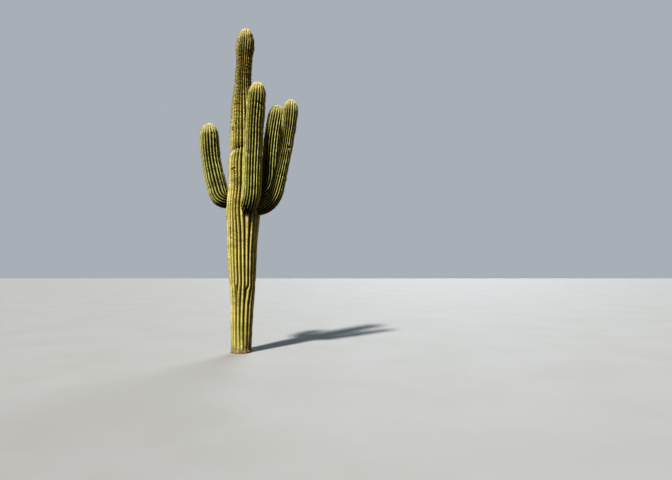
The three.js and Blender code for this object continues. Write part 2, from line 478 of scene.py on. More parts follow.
@dataclass(frozen=True)
class SkinFinish:
    """Waxy ribbed skin: dark valleys, olive flanks, tan crests, cork, scars and growth bands. Shade
    is painted into it as well: darker valleys and cork collars on the arms, near-black nest holes,
    and darker skin where it faces down.

    The layers are named for what they lay over the skin, and the heights and roughnesses for
    what they follow.
    """

    name: str
    # on the arms the valley colour is darker partly for the greener skin there and partly as
    # painted shade in the valleys
    valley: Colour
    flank: Colour
    flank_pale: Colour
    young: Colour
    sunned: Colour
    crest: Colour
    band: Colour
    cork: Colour = srgb(150, 136, 100)
    cork_dark: Colour = srgb(98, 86, 60)
    scar: Colour = srgb(52, 40, 27)
    # painted shade: the near-black inside of a nest hole
    hollow: Colour = srgb(8, 6, 5)
    felt: Colour = srgb(178, 166, 128)
    shaded: Colour = srgb(30, 33, 14)
    clouds: Cloud = Cloud(2.6, 4)
    fines: Cloud = Cloud(85, 5, 0.62)
    grits: Cloud = Cloud(420, 4, 0.65)
    speckles: Cloud = Cloud(34, 3)
    nicks: Cloud = Cloud(60, 2, 0.4)
    rings: Streaks = Streaks(5, 11, 2)
    wrinkles: Streaks = Streaks(9, 130, 3, 0.6)
    cracks: Streaks = Streaks(40, 26, 5, 0.7)
    pale_patches: Layer = Layer(1.0, 0.38, 0.62)
    young_flank: Layer = Layer(0.85, 0.35, 1.1)
    young_valley: Layer = Layer(0.55, 0.15, 0.7)
    pale_grit: Layer = Layer(0.3, 0.4, 0.65)
    dark_pores: Layer = Layer(0.35, 0.36, 0.5)
    flank_rise: Layer = Layer(1.0, 0.15, 0.85)
    worn_rise: Layer = Layer(0.9, 0.74, 0.98)
    worn_patches: Layer = Layer(1.0, 0.36, 0.66)
    worn_by_noise: float = 0.6
    bands: Layer = Layer(0.4, 0.5, 0.66)
    speckle_rise: Layer = Layer(0.4, 0.3, 0.6)
    speckle_edge: Layer = Layer(1.0, 0.62, 0.7)
    nick_edge: Layer = Layer(1.0, 0.69, 0.73)
    nick_patches: Layer = Layer(1.0, 0.42, 0.56)
    nick_cover: float = 0.75
    crack_edge: Layer = Layer(1.0, 0.42, 0.6)
    cork_edge: Layer = Layer(1.0, 0.36, 0.74)
    cork_by_fines: float = 1.1
    cork_by_clouds: float = 0.9
    callus: Layer = Layer(0.6, 0.5, 0.95)
    # painted shade: how strongly skin that faces down is darkened towards the shaded colour
    underside_shade: Layer = Layer(0.72, 0.1, 0.8)
    pale_top: Layer = Layer(0.45, 0.04, 0.34)
    felted_top: Layer = Layer(0.9, 0.004, 0.05)
    scar_edge: Layer = Layer(1.0, 0.25, 0.7)
    hollow_edge: Layer = Layer(1.0, 0.3, 0.8)
    bump_height: float = 0.004
    bump_strength: float = 0.75
    wrinkle_height: float = 0.5
    grit_height: float = 0.3
    crack_height: float = 2.2
    nick_height: float = 0.8
    roughness: float = 0.6
    cork_roughness: float = 0.25
    fine_roughness: float = 0.22
    grit_roughness: float = 0.2
    specular: float = 0.25

    def material(self) -> bpy.types.Material:
        """Builds the skin's material.

        Returns:
            The material.
        """
        paint = Paint(self.name)
        rise, below, turn = (paint.number(name) for name in ("rise", "below", "turn"))
        cloud, fine, grit = (noise.on(paint) for noise in (self.clouds, self.fines, self.grits))
        wrinkle, crack = (noise.on(paint, turn, below) for noise in (self.wrinkles, self.cracks))
        flank = paint.mix(self.pale_patches.rising(cloud), self.flank, self.flank_pale)
        flank = paint.mix(self.young_flank.falling(below), flank, self.young)
        flank = paint.mix(paint.number("sunned"), flank, self.sunned)
        flank = paint.mix(self.pale_grit.rising(grit), flank, self.crest)
        flank = paint.mix(self.dark_pores.falling(fine), flank, self.valley)
        valley = paint.mix(self.young_valley.falling(below), self.valley, self.young)
        # mixes valley to flank by how high the rib stands, which on the arms also paints shade into
        # the valleys
        skin = paint.mix(self.flank_rise.rising(rise), valley, flank)
        worn = fine * self.worn_by_noise + cloud * self.worn_by_noise
        worn = self.worn_rise.rising(rise) * self.worn_patches.rising(worn)
        skin = paint.mix(worn, skin, self.crest)
        skin = paint.mix(self.bands.rising(self.rings.on(paint, turn, below)), skin, self.band)
        speckle = self.speckle_edge.rising(self.speckles.on(paint))
        skin = paint.mix(speckle * self.speckle_rise.rising(rise), skin, self.crest)
        nick = self.nick_edge.rising(self.nicks.on(paint)) * self.nick_patches.rising(cloud)
        skin = paint.mix(self.nick_cover * nick, skin, self.scar)
        cork = paint.mix(self.crack_edge.rising(crack), self.cork_dark, self.cork)
        ragged = (fine - 0.5) * self.cork_by_fines + (cloud - 0.5) * self.cork_by_clouds
        corky = self.cork_edge.rising(paint.number("cork") + ragged)
        corky = corky.most(self.callus.rising(paint.number("filled")))
        skin = paint.mix(corky, skin, cork)
        # painted shade: skin that faces down, such as the elbows' undersides, is darkened towards
        # the shaded colour
        skin = paint.mix(self.underside_shade.rising(paint.number("under")), skin, self.shaded)
        skin = paint.mix(self.pale_top.falling(below), skin, self.crest)
        skin = paint.mix(self.felted_top.falling(below), skin, self.felt)
        skin = paint.mix(self.scar_edge.rising(paint.number("scar")), skin, self.scar)
        # painted shade: the inside of each nest hole goes near-black
        skin = paint.mix(self.hollow_edge.rising(paint.number("hollow")), skin, self.hollow)
        height = fine + self.wrinkle_height * wrinkle + self.grit_height * grit
        height = height + (crack - 0.5) * corky * self.crack_height - self.nick_height * nick
        roughness = self.roughness + self.cork_roughness * corky
        roughness = roughness + self.fine_roughness * (fine - 0.5)
        return paint.finish(
            Base_Color=skin,
            Roughness=roughness + self.grit_roughness * (grit - 0.5),
            Specular_IOR_Level=self.specular,
            Normal=paint.bump(height, self.bump_height, self.bump_strength),
        )


@dataclass(frozen=True)
class PlainFinish:
    """One plain base colour, for spines and felt too small to carry a pattern."""

    name: str
    colour: Colour
    roughness: float
    specular: float = 0.0

    def material(self) -> bpy.types.Material:
        """Builds the plain material.

        Returns:
            The material.
        """
        return Paint(self.name).finish(
            Base_Color=self.colour, Roughness=self.roughness, Specular_IOR_Level=self.specular
        )


@dataclass(frozen=True)
class FloorFinish:
    """Pale matt plaster for the studio floor."""

    name: str = "studio_floor"
    pale: Colour = srgb(136, 134, 130)
    paler: Colour = srgb(138, 136, 133)
    clouds: Cloud = Cloud(0.6, 3)
    patches: Layer = Layer(1.0, 0.35, 0.65)
    roughness: float = 0.9
    specular: float = 0.2

    def material(self) -> bpy.types.Material:
        """Builds the floor's material.

        Returns:
            The material.
        """
        paint = Paint(self.name)
        colour = paint.mix(self.patches.rising(self.clouds.on(paint)), self.pale, self.paler)
        return paint.finish(
            Base_Color=colour, Roughness=self.roughness, Specular_IOR_Level=self.specular
        )


class SpineTone(Enum):
    """The spines' and felt's colours, from weathered growth to new growth."""

    WEATHERED = (srgb(98, 88, 66), srgb(76, 66, 46))
    TAN = (srgb(164, 146, 94), srgb(128, 113, 74))
    PALE = (srgb(228, 217, 186), srgb(188, 174, 136))

    def spine(self) -> bpy.types.Material:
        """Builds the spines' material of this tone."""
        name = f"spine_{self.name.lower()}"
        return PlainFinish(name, colour=self.value[0], roughness=0.5).material()

    def felt(self) -> bpy.types.Material:
        """Builds the felt's material of this tone."""
        name = f"felt_{self.name.lower()}"
        return PlainFinish(name, colour=self.value[1], roughness=1.0).material()


class PitKind(Enum):
    """What made a pit: a small healed scar, or a nest hole with steep walls."""

    SCAR = "scar"
    NEST = "nest"


@dataclass(frozen=True)
class Pit:
    """A pit in a limb's skin: how far along and round the limb it is, and its size."""

    along: float
    turn: float
    radius: float
    depth: float
    kind: PitKind = PitKind.SCAR


@dataclass(frozen=True)
class NestForm:
    """How a nest hole's parts end, each as a span of distances counted in its radius."""

    wall: Span = (0.85, 1.1)
    stain: Span = (1.1, 1.6)
    stain_strength: float = 0.26
    callus: Span = (1.3, 2.1)
    callus_rise: float = 0.8


@dataclass(frozen=True)
class Waist:
    """A growth ring: a pinch round a limb, higher by its tilt on the side of turn 0."""

    along: float
    depth: float
    width: float
    tilt: float = 0.0


@dataclass
class Relief:
    """How far the skin stands off its ribbed form, how scarred it is, where shade is painted into
    its holes, and how filled.

    Where it is filled, a callus takes the place of the valley between two ribs.
    """

    offset: Floats
    scar: Floats
    # where the near-black painted shade of a nest hole goes
    hollow: Floats
    filled: Floats


@dataclass(kw_only=True)
class Limb(ABC):
    """A ribbed limb: its sizes, its skin, and where its areoles sit.

    A place on it is given by a distance along it and a column, which counts ribs round it from
    one valley to the next, so that a rib's crest is at a half.
    """

    name: str
    nodes: tuple[str, ...]
    slot: str
    seed: int
    length: float
    ribs: int
    sharpness: Stations
    tip_length: float
    waists: tuple[Waist, ...] = ()
    pits: tuple[Pit, ...] = ()
    sunned: float = 0.0
    skin_start: float = 0.0
    rib_columns: int = 12
    level_step: float = 0.019
    fine_step: float = 0.006
    tip_levels: int = 22
    tip_roundness: float = 0.46
    tip_smooth: float = 0.52
    tip_rib_share: float = 0.3
    rib_sink: float = 1.6
    tip_inset: float = 0.016
    lump_height: float = 0.003
    lump_cells: Cells = (7, 0.085)
    young_reach: Span = (1.0, 2.2)
    swell_height: float = 0.004
    swell_cells: Cells = (4, 0.4)
    bark_height: float = 0.0035
    bark_cells: Cells = (96, 0.03)
    meander: float = 0.09
    meander_cell: float = 0.45
    ripple: Stations = ((0.0, 0.001), (1.0, 0.001))
    ripple_length: float = 0.07
    ripple_cells: Cells = (8, 0.2)
    ripple_shift: float = 0.3
    uneven_cells: Cells = (5, 0.5)
    unevenness: float = 0.5
    slim_radius: float = 0.1
    cork_cells: Cells = (5, 0.1)
    cork_raggedness: float = 0.05
    cork_strength: float = 0.75
    cork_reach: Span = (0.12, 0.26)
    nest: NestForm = NestForm()
    deep_waist: float = 0.02
    fine_by_waist: float = 0.8
    fine_by_nest: float = 1.3

    @abstractmethod
    def middle(self, along: Floats) -> Floats:
        """Gives the limb's middle at distances along it."""

    @abstractmethod
    def axes(self, along: Floats) -> tuple[Floats, Floats]:
        """Gives the two directions across the limb that its angles are counted by."""

    @abstractmethod
    def full_radius(self, along: Floats) -> Floats:
        """Gives the radius at the rib crests, as if the tip weren't rounded."""

    @abstractmethod
    def rib_depth(self, along: Floats) -> Floats:
        """Gives the depth from crest to valley, as if the tip weren't rounded."""

    def grain(self, step: int, cells: Cells, turn: Floats, along: Floats) -> Floats:
        """Reads the limb's noise that is step seeds on from its own."""
        return Grain(self.seed + step, *cells).at(turn, along)

    def cork(self, along: Floats, turn: Floats) -> Floats:
        """Gives how corky the skin is, from 0 to 1: by its foot, ragged at the upper edge."""
        edge = self.grain(9, self.cork_cells, turn, along) * self.cork_raggedness
        return self.cork_strength * (1 - smoothstep(along + edge, *self.cork_reach))

    def rib_layout(self, along: Floats, column: Floats) -> tuple[Floats, Floats]:
        """Gives the angle of each column and how much of a full rib stands there."""
        return TURN * column / self.ribs, np.ones_like(column)

    def reshaped(self, along: Floats, angle: Floats) -> tuple[Floats, Floats]:
        """Gives angles moved, and extra radius, by what grows out of the limb."""
        return angle, np.zeros_like(angle)

    def tip_share(self, along: Floats) -> Floats:
        """Gives how full the limb still is at its rounded tip, from 1 to 0."""
        past = 1 - np.clip((self.length - along) / self.tip_length, 0, 1)
        return (1 - past * past) ** self.tip_roundness

    def crest_radius(self, along: Floats) -> Floats:
        """Gives the radius at the rib crests."""
        return self.full_radius(along) * self.tip_share(along)

    def rib_rise(self, along: Floats, column: Floats) -> Floats:
        """Gives how high a rib stands, from 0 in the valley to 1 at its crest."""
        return np.sin(math.pi * (column % 1)) ** between(self.sharpness, along)

    def relief(self, along: Floats, turn: Floats, radius: Floats) -> Relief:
        """Works out lumps, growth rings, cork, scars and holes.

        Args:
            along: Distances along the limb.
            turn: Shares of a full turn round it.
            radius: The limb's radius there.

        Returns:
            The skin's relief at each place.
        """
        young = 1 - smoothstep(self.length - along, *self.young_reach)
        lumps = self.grain(1, self.lump_cells, turn, along) * self.lump_height * (1 + young)
        swells = self.grain(2, self.swell_cells, turn, along) * self.swell_height
        bark = self.grain(3, self.bark_cells, turn, along) * self.bark_height
        offset = lumps + swells + bark * self.cork(along, turn)
        uneven = 1 + self.unevenness * self.grain(4, self.uneven_cells, turn, along)
        shift = self.ripple_shift * self.ripple_length
        shifted = along + shift * self.grain(5, self.ripple_cells, turn, along)
        wave = (0.5 + 0.5 * np.cos(TURN * shifted / self.ripple_length)) ** 2
        offset -= between(self.ripple, along) * uneven * wave
        for waist in self.waists:
            middle = waist.along + waist.tilt * np.cos(turn * TURN)
            offset -= waist.depth * uneven * np.exp(-(((along - middle) / waist.width) ** 2))
        scar, hollow, filled = (np.zeros_like(along) for _ in range(3))
        for pit in self.pits:
            beside = wrapped((turn - pit.turn) * TURN) * radius
            distance = np.hypot(along - pit.along, beside) / pit.radius
            if pit.kind is PitKind.NEST:
                inside = 1 - smoothstep(distance, *self.nest.wall)
                # the hole's inside is painted near-black as shade
                hollow = np.maximum(hollow, inside)
                stain = self.nest.stain_strength * (1 - smoothstep(distance, *self.nest.stain))
                scar = np.maximum(scar, stain)
                filled = np.maximum(filled, 1 - smoothstep(distance, *self.nest.callus))
            else:
                inside = np.exp(-(distance**2))
                scar = np.maximum(scar, inside)
            offset -= pit.depth * inside
        return Relief(offset * np.minimum(1, radius / self.slim_radius), scar, hollow, filled)

    def surface(self, along: Floats, column: Floats) -> tuple[Floats, dict[str, Floats]]:
        """Works out points of the skin.

        Args:
            along: Distances along the limb.
            column: Columns, one for each distance.

        Returns:
            The points, and what the skin's material reads at each.
        """
        angle, standing = self.rib_layout(along, column)
        cells = (self.ribs // 2, self.meander_cell)
        wander = self.grain(0, cells, column / self.ribs, along)
        angle = angle + wander * self.meander * TURN / self.ribs
        angle, extra = self.reshaped(along, angle)
        deepening = smoothstep(self.length - along, 0, self.tip_smooth)
        share = self.tip_rib_share + (1 - self.tip_rib_share) * deepening
        share = share * self.tip_share(along)
        radius = self.crest_radius(along)
        rise = self.rib_rise(along, column) * standing
        relief = self.relief(along, angle / TURN, radius)
        sink = self.rib_sink * self.rib_depth(along) * share * (1 - rise) * (1 - relief.filled)
        radius = radius + extra - sink + relief.offset
        across, beside = self.axes(along)
        cosine, sine = (radius * np.cos(angle))[:, None], (radius * np.sin(angle))[:, None]
        inset = self.tip_inset * smoothstep(along, self.length - self.tip_length, self.length)
        points = self.middle(along - inset) + cosine * across + sine * beside
        values = {
            "filled": relief.filled,
            "rise": np.maximum(rise, self.nest.callus_rise * relief.filled),
            "below": self.length - along,
            # how far the skin faces down; the material paints shade on it by this
            "under": -(np.cos(angle) * across[:, 2] + np.sin(angle) * beside[:, 2]),
            "sunned": np.full_like(along, self.sunned),
            "turn": (angle / TURN) % 1,
            "cork": self.cork(along, angle / TURN),
            "scar": relief.scar,
            "hollow": relief.hollow,
        }
        return points, values

    def levels(self) -> Floats:
        """Spaces the skin's rings, closer together near holes, the notch and the tip.

        Returns:
            The distances of the rings along the limb.
        """
        tip_start = self.length - self.tip_length
        deep = [waist for waist in self.waists if waist.depth > self.deep_waist]
        nests = [pit for pit in self.pits if pit.kind is PitKind.NEST]
        near = [(waist.along, self.fine_by_waist * waist.width + waist.tilt) for waist in deep]
        near += [(pit.along, self.fine_by_nest * pit.radius) for pit in nests]
        found: list[float] = []
        along = self.skin_start
        while along < tip_start - self.fine_step:
            found.append(along)
            close = any(abs(along - place) < reach for place, reach in near)
            along += self.fine_step if close else self.level_step
        quarter = np.arange(self.tip_levels) / self.tip_levels * math.pi / 2
        return np.concatenate([found, tip_start + self.tip_length * np.sin(quarter)])

    def skin(self) -> Shape:
        """Builds the closed skin: rings of columns, a flat foot and a rounded tip.

        Returns:
            The skin.
        """
        levels = self.levels()
        columns = self.ribs * self.rib_columns
        steps = np.arange(columns) / self.rib_columns
        along, column = np.repeat(levels, columns), np.tile(steps, len(levels))
        points, values = self.surface(along, column)
        ends = np.array([levels[0], self.length])
        points = np.concatenate([points, self.middle(ends - [0, self.tip_inset])])
        flat = dict.fromkeys(("under", "turn", "scar", "hollow", "filled"), 0.0)
        edge = {"rise": 0.5, "sunned": self.sunned, **flat}
        edge_values = {key: np.full(2, number) for key, number in edge.items()}
        edge_values["below"] = self.length - ends
        edge_values["cork"] = self.cork(ends, np.zeros(2))
        values = {key: np.concatenate([v, edge_values[key]]) for key, v in values.items()}
        here = np.arange(columns)
        after = (here + 1) % columns
        rows = np.arange(len(levels) - 1)[:, None] * columns
        corners = [rows + here, rows + after, rows + columns + after, rows + columns + here]
        quads = np.stack([c.ravel() for c in corners], 1)
        foot, tip, last = len(points) - 2, len(points) - 1, (len(levels) - 1) * columns
        foot_fan = np.stack([np.full(columns, foot), after, here], 1)
        tip_fan = np.stack([last + here, last + after, np.full(columns, tip)], 1)
        return Shape(
            points,
            [quads, foot_fan, tip_fan],
            uv=self.bake_map(levels, columns),
            values=values,
            smooth=True,
        )

    def bake_map(self, levels: Floats, columns: int) -> Floats:
        """Lays the skin out flat for baking: the side above, the foot's disc in a corner.

        Args:
            levels: The distances of the rings along the limb.
            columns: How many columns go round the limb.

        Returns:
            The flat place of each corner of each face.
        """
        margin, disc, disc_clearance = 0.03, 0.012, 1.2
        share = (levels - levels[0]) / (self.length - levels[0]) * (1 - margin) + margin
        left = np.arange(columns) / columns
        right = left + 1 / columns
        low, high = np.repeat(share[:-1], columns), np.repeat(share[1:], columns)
        lefts, rights = np.tile(left, len(levels) - 1), np.tile(right, len(levels) - 1)
        quads = np.stack([lefts, low, rights, low, rights, high, lefts, high], 1)
        angle, next_angle = left * TURN, right * TURN
        centre = np.full(columns, disc_clearance * disc)
        parts = [centre, centre]
        for at in (next_angle, angle):
            parts += [centre + disc * np.cos(at), centre + disc * np.sin(at)]
        foot = np.stack(parts, 1)
        rim, top = np.full(columns, share[-1]), np.ones(columns)
        tip = np.stack([left, rim, right, rim, (left + right) / 2, top], 1)
        return np.concatenate([quads.ravel(), foot.ravel(), tip.ravel()]).reshape(-1, 2)

    def frames(self, along: Floats, column: Floats) -> tuple[Floats, Floats, Floats, Floats]:
        """Works out places on the skin with their directions.

        Args:
            along: Distances along the limb.
            column: Columns, one for each distance.

        Returns:
            The points, and at each the way out, the way up the rib and the way beside it.
        """
        step, share = 0.007, 0.12
        reach = np.minimum(step, (self.length - along) * 0.5)
        points = self.surface(along, column)[0]
        up = self.surface(along + reach, column)[0] - self.surface(along - reach, column)[0]
        beside = self.surface(along, column + share)[0] - self.surface(along, column - share)[0]
        up /= np.linalg.norm(up, axis=1, keepdims=True)
        out = np.cross(beside, up)
        out /= np.linalg.norm(out, axis=1, keepdims=True)
        return points, out, up, np.cross(up, out)


@dataclass
class Joint:
    """Where an arm grows out of the trunk: its bearing and height, and its reach on the trunk."""

    bearing: float
    height: float
    spread: float = 0.5
    half_width: float = 0.62
    half_height: float = 0.36
    swelling: float = 0.014
    swelling_reach: float = 0.26


@dataclass(kw_only=True)
class Trunk(Limb):
    """The upright trunk, with late ribs that start above its foot."""

    girth: Stations = (
        (0.0, 0.208),
        (0.08, 0.193),
        (0.3, 0.197),
        (0.6, 0.209),
        (0.95, 0.22),
        (1.2, 0.238),
        (1.55, 0.261),
        (2.04, 0.283),
        (2.58, 0.312),
        (2.85, 0.304),
        (3.21, 0.27),
        (3.66, 0.269),
        (3.9, 0.258),
        (4.39, 0.242),
        (4.85, 0.21),
        (5.23, 0.155),
        (5.67, 0.144),
        (5.9, 0.172),
        (6.0, 0.172),
    )
    sway: Stations = (
        (0.0, 0.0, 0.0),
        (0.6, -0.003, 0.004),
        (1.15, 0.007, 0.007),
        (1.85, -0.005, 0.0),
        (2.6, 0.002, -0.006),
        (3.55, -0.012, 0.0),
        (4.1, -0.003, 0.0),
        (5.25, -0.014, 0.008),
        (5.65, 0.0, 0.004),
        (6.06, 0.022, -0.004),
        (6.36, 0.034, -0.008),
    )
    depths: Stations = (
        (0.0, 0.007),
        (0.3, 0.015),
        (0.7, 0.03),
        (1.5, 0.038),
        (2.6, 0.044),
        (4.0, 0.038),
        (5.2, 0.026),
        (6.36, 0.024),
    )
    first_rib_bearing: float = -68.0
    late_ribs: Mapping[int, float] = field(
        default_factory=lambda: {0: 1.15, 4: 1.24, 8: 1.11, 11: 1.31, 15: 1.2, 19: 1.165}
    )
    late_rib_rise: float = 0.16
    late_rib_foot_share: float = 0.4
    closed_foot_share: float = 0.1
    closing: float = 0.22
    cork_cells: Cells = (9, 0.16)
    cork_raggedness: float = 0.22
    cork_strength: float = 0.72
    cork_reach: Span = (0.0, 0.5)
    joints: tuple[Joint, ...] = ()

    def middle(self, along: Floats) -> Floats:
        """Gives the trunk's middle at heights."""
        return np.stack([between(self.sway, along, 1), between(self.sway, along, 2), along], 1)

    def axes(self, along: Floats) -> tuple[Floats, Floats]:
        """Gives the level directions that the trunk's angles are counted by."""
        across = np.tile([1.0, 0.0, 0.0], (len(along), 1))
        return across, np.tile([0.0, 1.0, 0.0], (len(along), 1))

    def full_radius(self, along: Floats) -> Floats:
        """Gives the radius at the rib crests, as if the tip weren't rounded."""
        return between(self.girth, np.minimum(along, self.length - self.tip_length))

    def rib_depth(self, along: Floats) -> Floats:
        """Gives the depth from crest to valley, as if the tip weren't rounded."""
        return between(self.depths, along)

    def rib_layout(self, along: Floats, column: Floats) -> tuple[Floats, Floats]:
        """Lays the ribs round the trunk, with the late ones narrow until they start.

        Args:
            along: Heights.
            column: Columns, one for each height.

        Returns:
            The angle of each column, and how much of a full rib stands there.
        """
        shares = np.ones((len(along), self.ribs))
        widths = np.ones((len(along), self.ribs))
        for rib, start in self.late_ribs.items():
            shares[:, rib] = smoothstep(along, start, start + self.late_rib_rise)
            opened = smoothstep(along, start - self.closing, start)
            foot = self.closed_foot_share
            foot = foot + (self.late_rib_foot_share - self.closed_foot_share) * opened
            widths[:, rib] = foot + (1 - foot) * shares[:, rib]
        widths *= TURN / widths.sum(1, keepdims=True)
        starts = np.cumsum(widths, 1) - widths + math.radians(self.first_rib_bearing)
        rows = np.arange(len(along))
        whole = np.floor(column)
        rib = whole.astype(int) % self.ribs
        lap = np.floor(whole / self.ribs) * TURN
        return starts[rows, rib] + (column - whole) * widths[rows, rib] + lap, shares[rows, rib]

    def reshaped(self, along: Floats, angle: Floats) -> tuple[Floats, Floats]:
        """Spreads the ribs round each arm's joint, and swells the trunk under it.

        Args:
            along: Heights.
            angle: Angles round the trunk, one for each height.

        Returns:
            The angles moved, and the extra radius.
        """
        extra = np.zeros_like(angle)
        moved = angle.copy()
        for joint in self.joints:
            off = wrapped(angle - math.radians(joint.bearing))
            near = np.exp(-((off / joint.half_width) ** 2))
            near *= np.exp(-(((along - joint.height) / joint.half_height) ** 2))
            moved += joint.spread * off * near
            distance = np.hypot(off * self.full_radius(along), along - joint.height)
            extra += joint.swelling * np.exp(-((distance / joint.swelling_reach) ** 2))
        return moved, extra


@dataclass(kw_only=True)
class Arm(Limb):
    """An arm that leaves the trunk, bends and rises, in one upright plane."""

    bearing: float
    root_height: float
    start_heading: float
    bend_from: float
    bend_length: float
    bent_heading: float
    tip_heading: float
    elbow_radius: float
    waist_radius: float
    crown_radius: float
    root_out: float = 0.16
    depth: float = 0.034
    neck_share: float = 0.78
    swell_place: float = 0.45
    crown_below_tip: float = 2.2
    path_step: float = 0.005

    def __post_init__(self) -> None:
        """Walks along the arm once to find its path."""
        steps = math.ceil(self.length / self.path_step)
        self.walk = np.linspace(0, self.length, steps + 1)
        heading = self.heading(0.5 * (self.walk[1:] + self.walk[:-1]))
        stride = self.length / steps
        self.walk_out = self.root_out + np.concatenate([[0], np.cumsum(np.cos(heading))]) * stride
        self.walk_up = self.root_height + np.concatenate([[0], np.cumsum(np.sin(heading))]) * stride

    def out(self) -> Floats:
        """Gives the level direction that the arm leaves in."""
        bearing = math.radians(self.bearing)
        return np.array([math.cos(bearing), math.sin(bearing), 0.0])

    def heading(self, along: Floats) -> Floats:
        """Gives the arm's heading above level, in radians.

        Args:
            along: Distances along the arm.

        Returns:
            The heading at each.
        """
        bend_end = self.bend_from + self.bend_length
        bend = smoothstep(along, self.bend_from, bend_end)
        rest = smoothstep(along, bend_end, self.length)
        bent = (self.bent_heading - self.start_heading) * bend
        return np.radians(
            self.start_heading + bent + (self.tip_heading - self.bent_heading) * rest
        )

    def middle(self, along: Floats) -> Floats:
        """Gives the arm's middle at distances along it."""
        out = np.interp(along, self.walk, self.walk_out)[:, None] * self.out()
        return out + np.interp(along, self.walk, self.walk_up)[:, None] * np.array([0.0, 0.0, 1.0])

    def axes(self, along: Floats) -> tuple[Floats, Floats]:
        """Gives the directions across the arm.

        Args:
            along: Distances along the arm.

        Returns:
            The direction in its plane and the one beside that, at each distance.
        """
        heading = self.heading(along)[:, None]
        up = np.array([0.0, 0.0, 1.0])
        beside = np.cross(self.out(), up)
        return np.cos(heading) * up - np.sin(heading) * self.out(), np.tile(beside, (len(along), 1))

    def full_radius(self, along: Floats) -> Floats:
        """Gives the radius at the rib crests, as if the tip weren't rounded.

        Args:
            along: Distances along the arm.

        Returns:
            The radius at each.
        """
        swell = self.bend_from + self.swell_place * self.bend_length
        stations = (
            (0.0, self.neck_share * self.elbow_radius),
            (swell, self.elbow_radius),
            ((swell + self.length) / 2, self.waist_radius),
            (self.length - self.crown_below_tip * self.crown_radius, self.crown_radius),
            (self.length, self.crown_radius),
        )
        return between(stations, along)

    def rib_depth(self, along: Floats) -> Floats:
        """Gives the depth from crest to valley, as if the tip weren't rounded."""
        return self.depth * np.minimum(1, self.full_radius(along) / self.waist_radius)


@dataclass
class Sites:
    """Where a limb's areoles sit, and how each is armed."""

    points: Floats
    out: Floats
    up: Floats
    beside: Floats
    count: Whole
    length: Floats
    tone: Whole

    def picked(self, keep: NDArray[np.bool_]) -> "Sites":
        """Gives the sites that keep marks."""
        return Sites(*(getattr(self, name)[keep] for name in self.__dataclass_fields__))


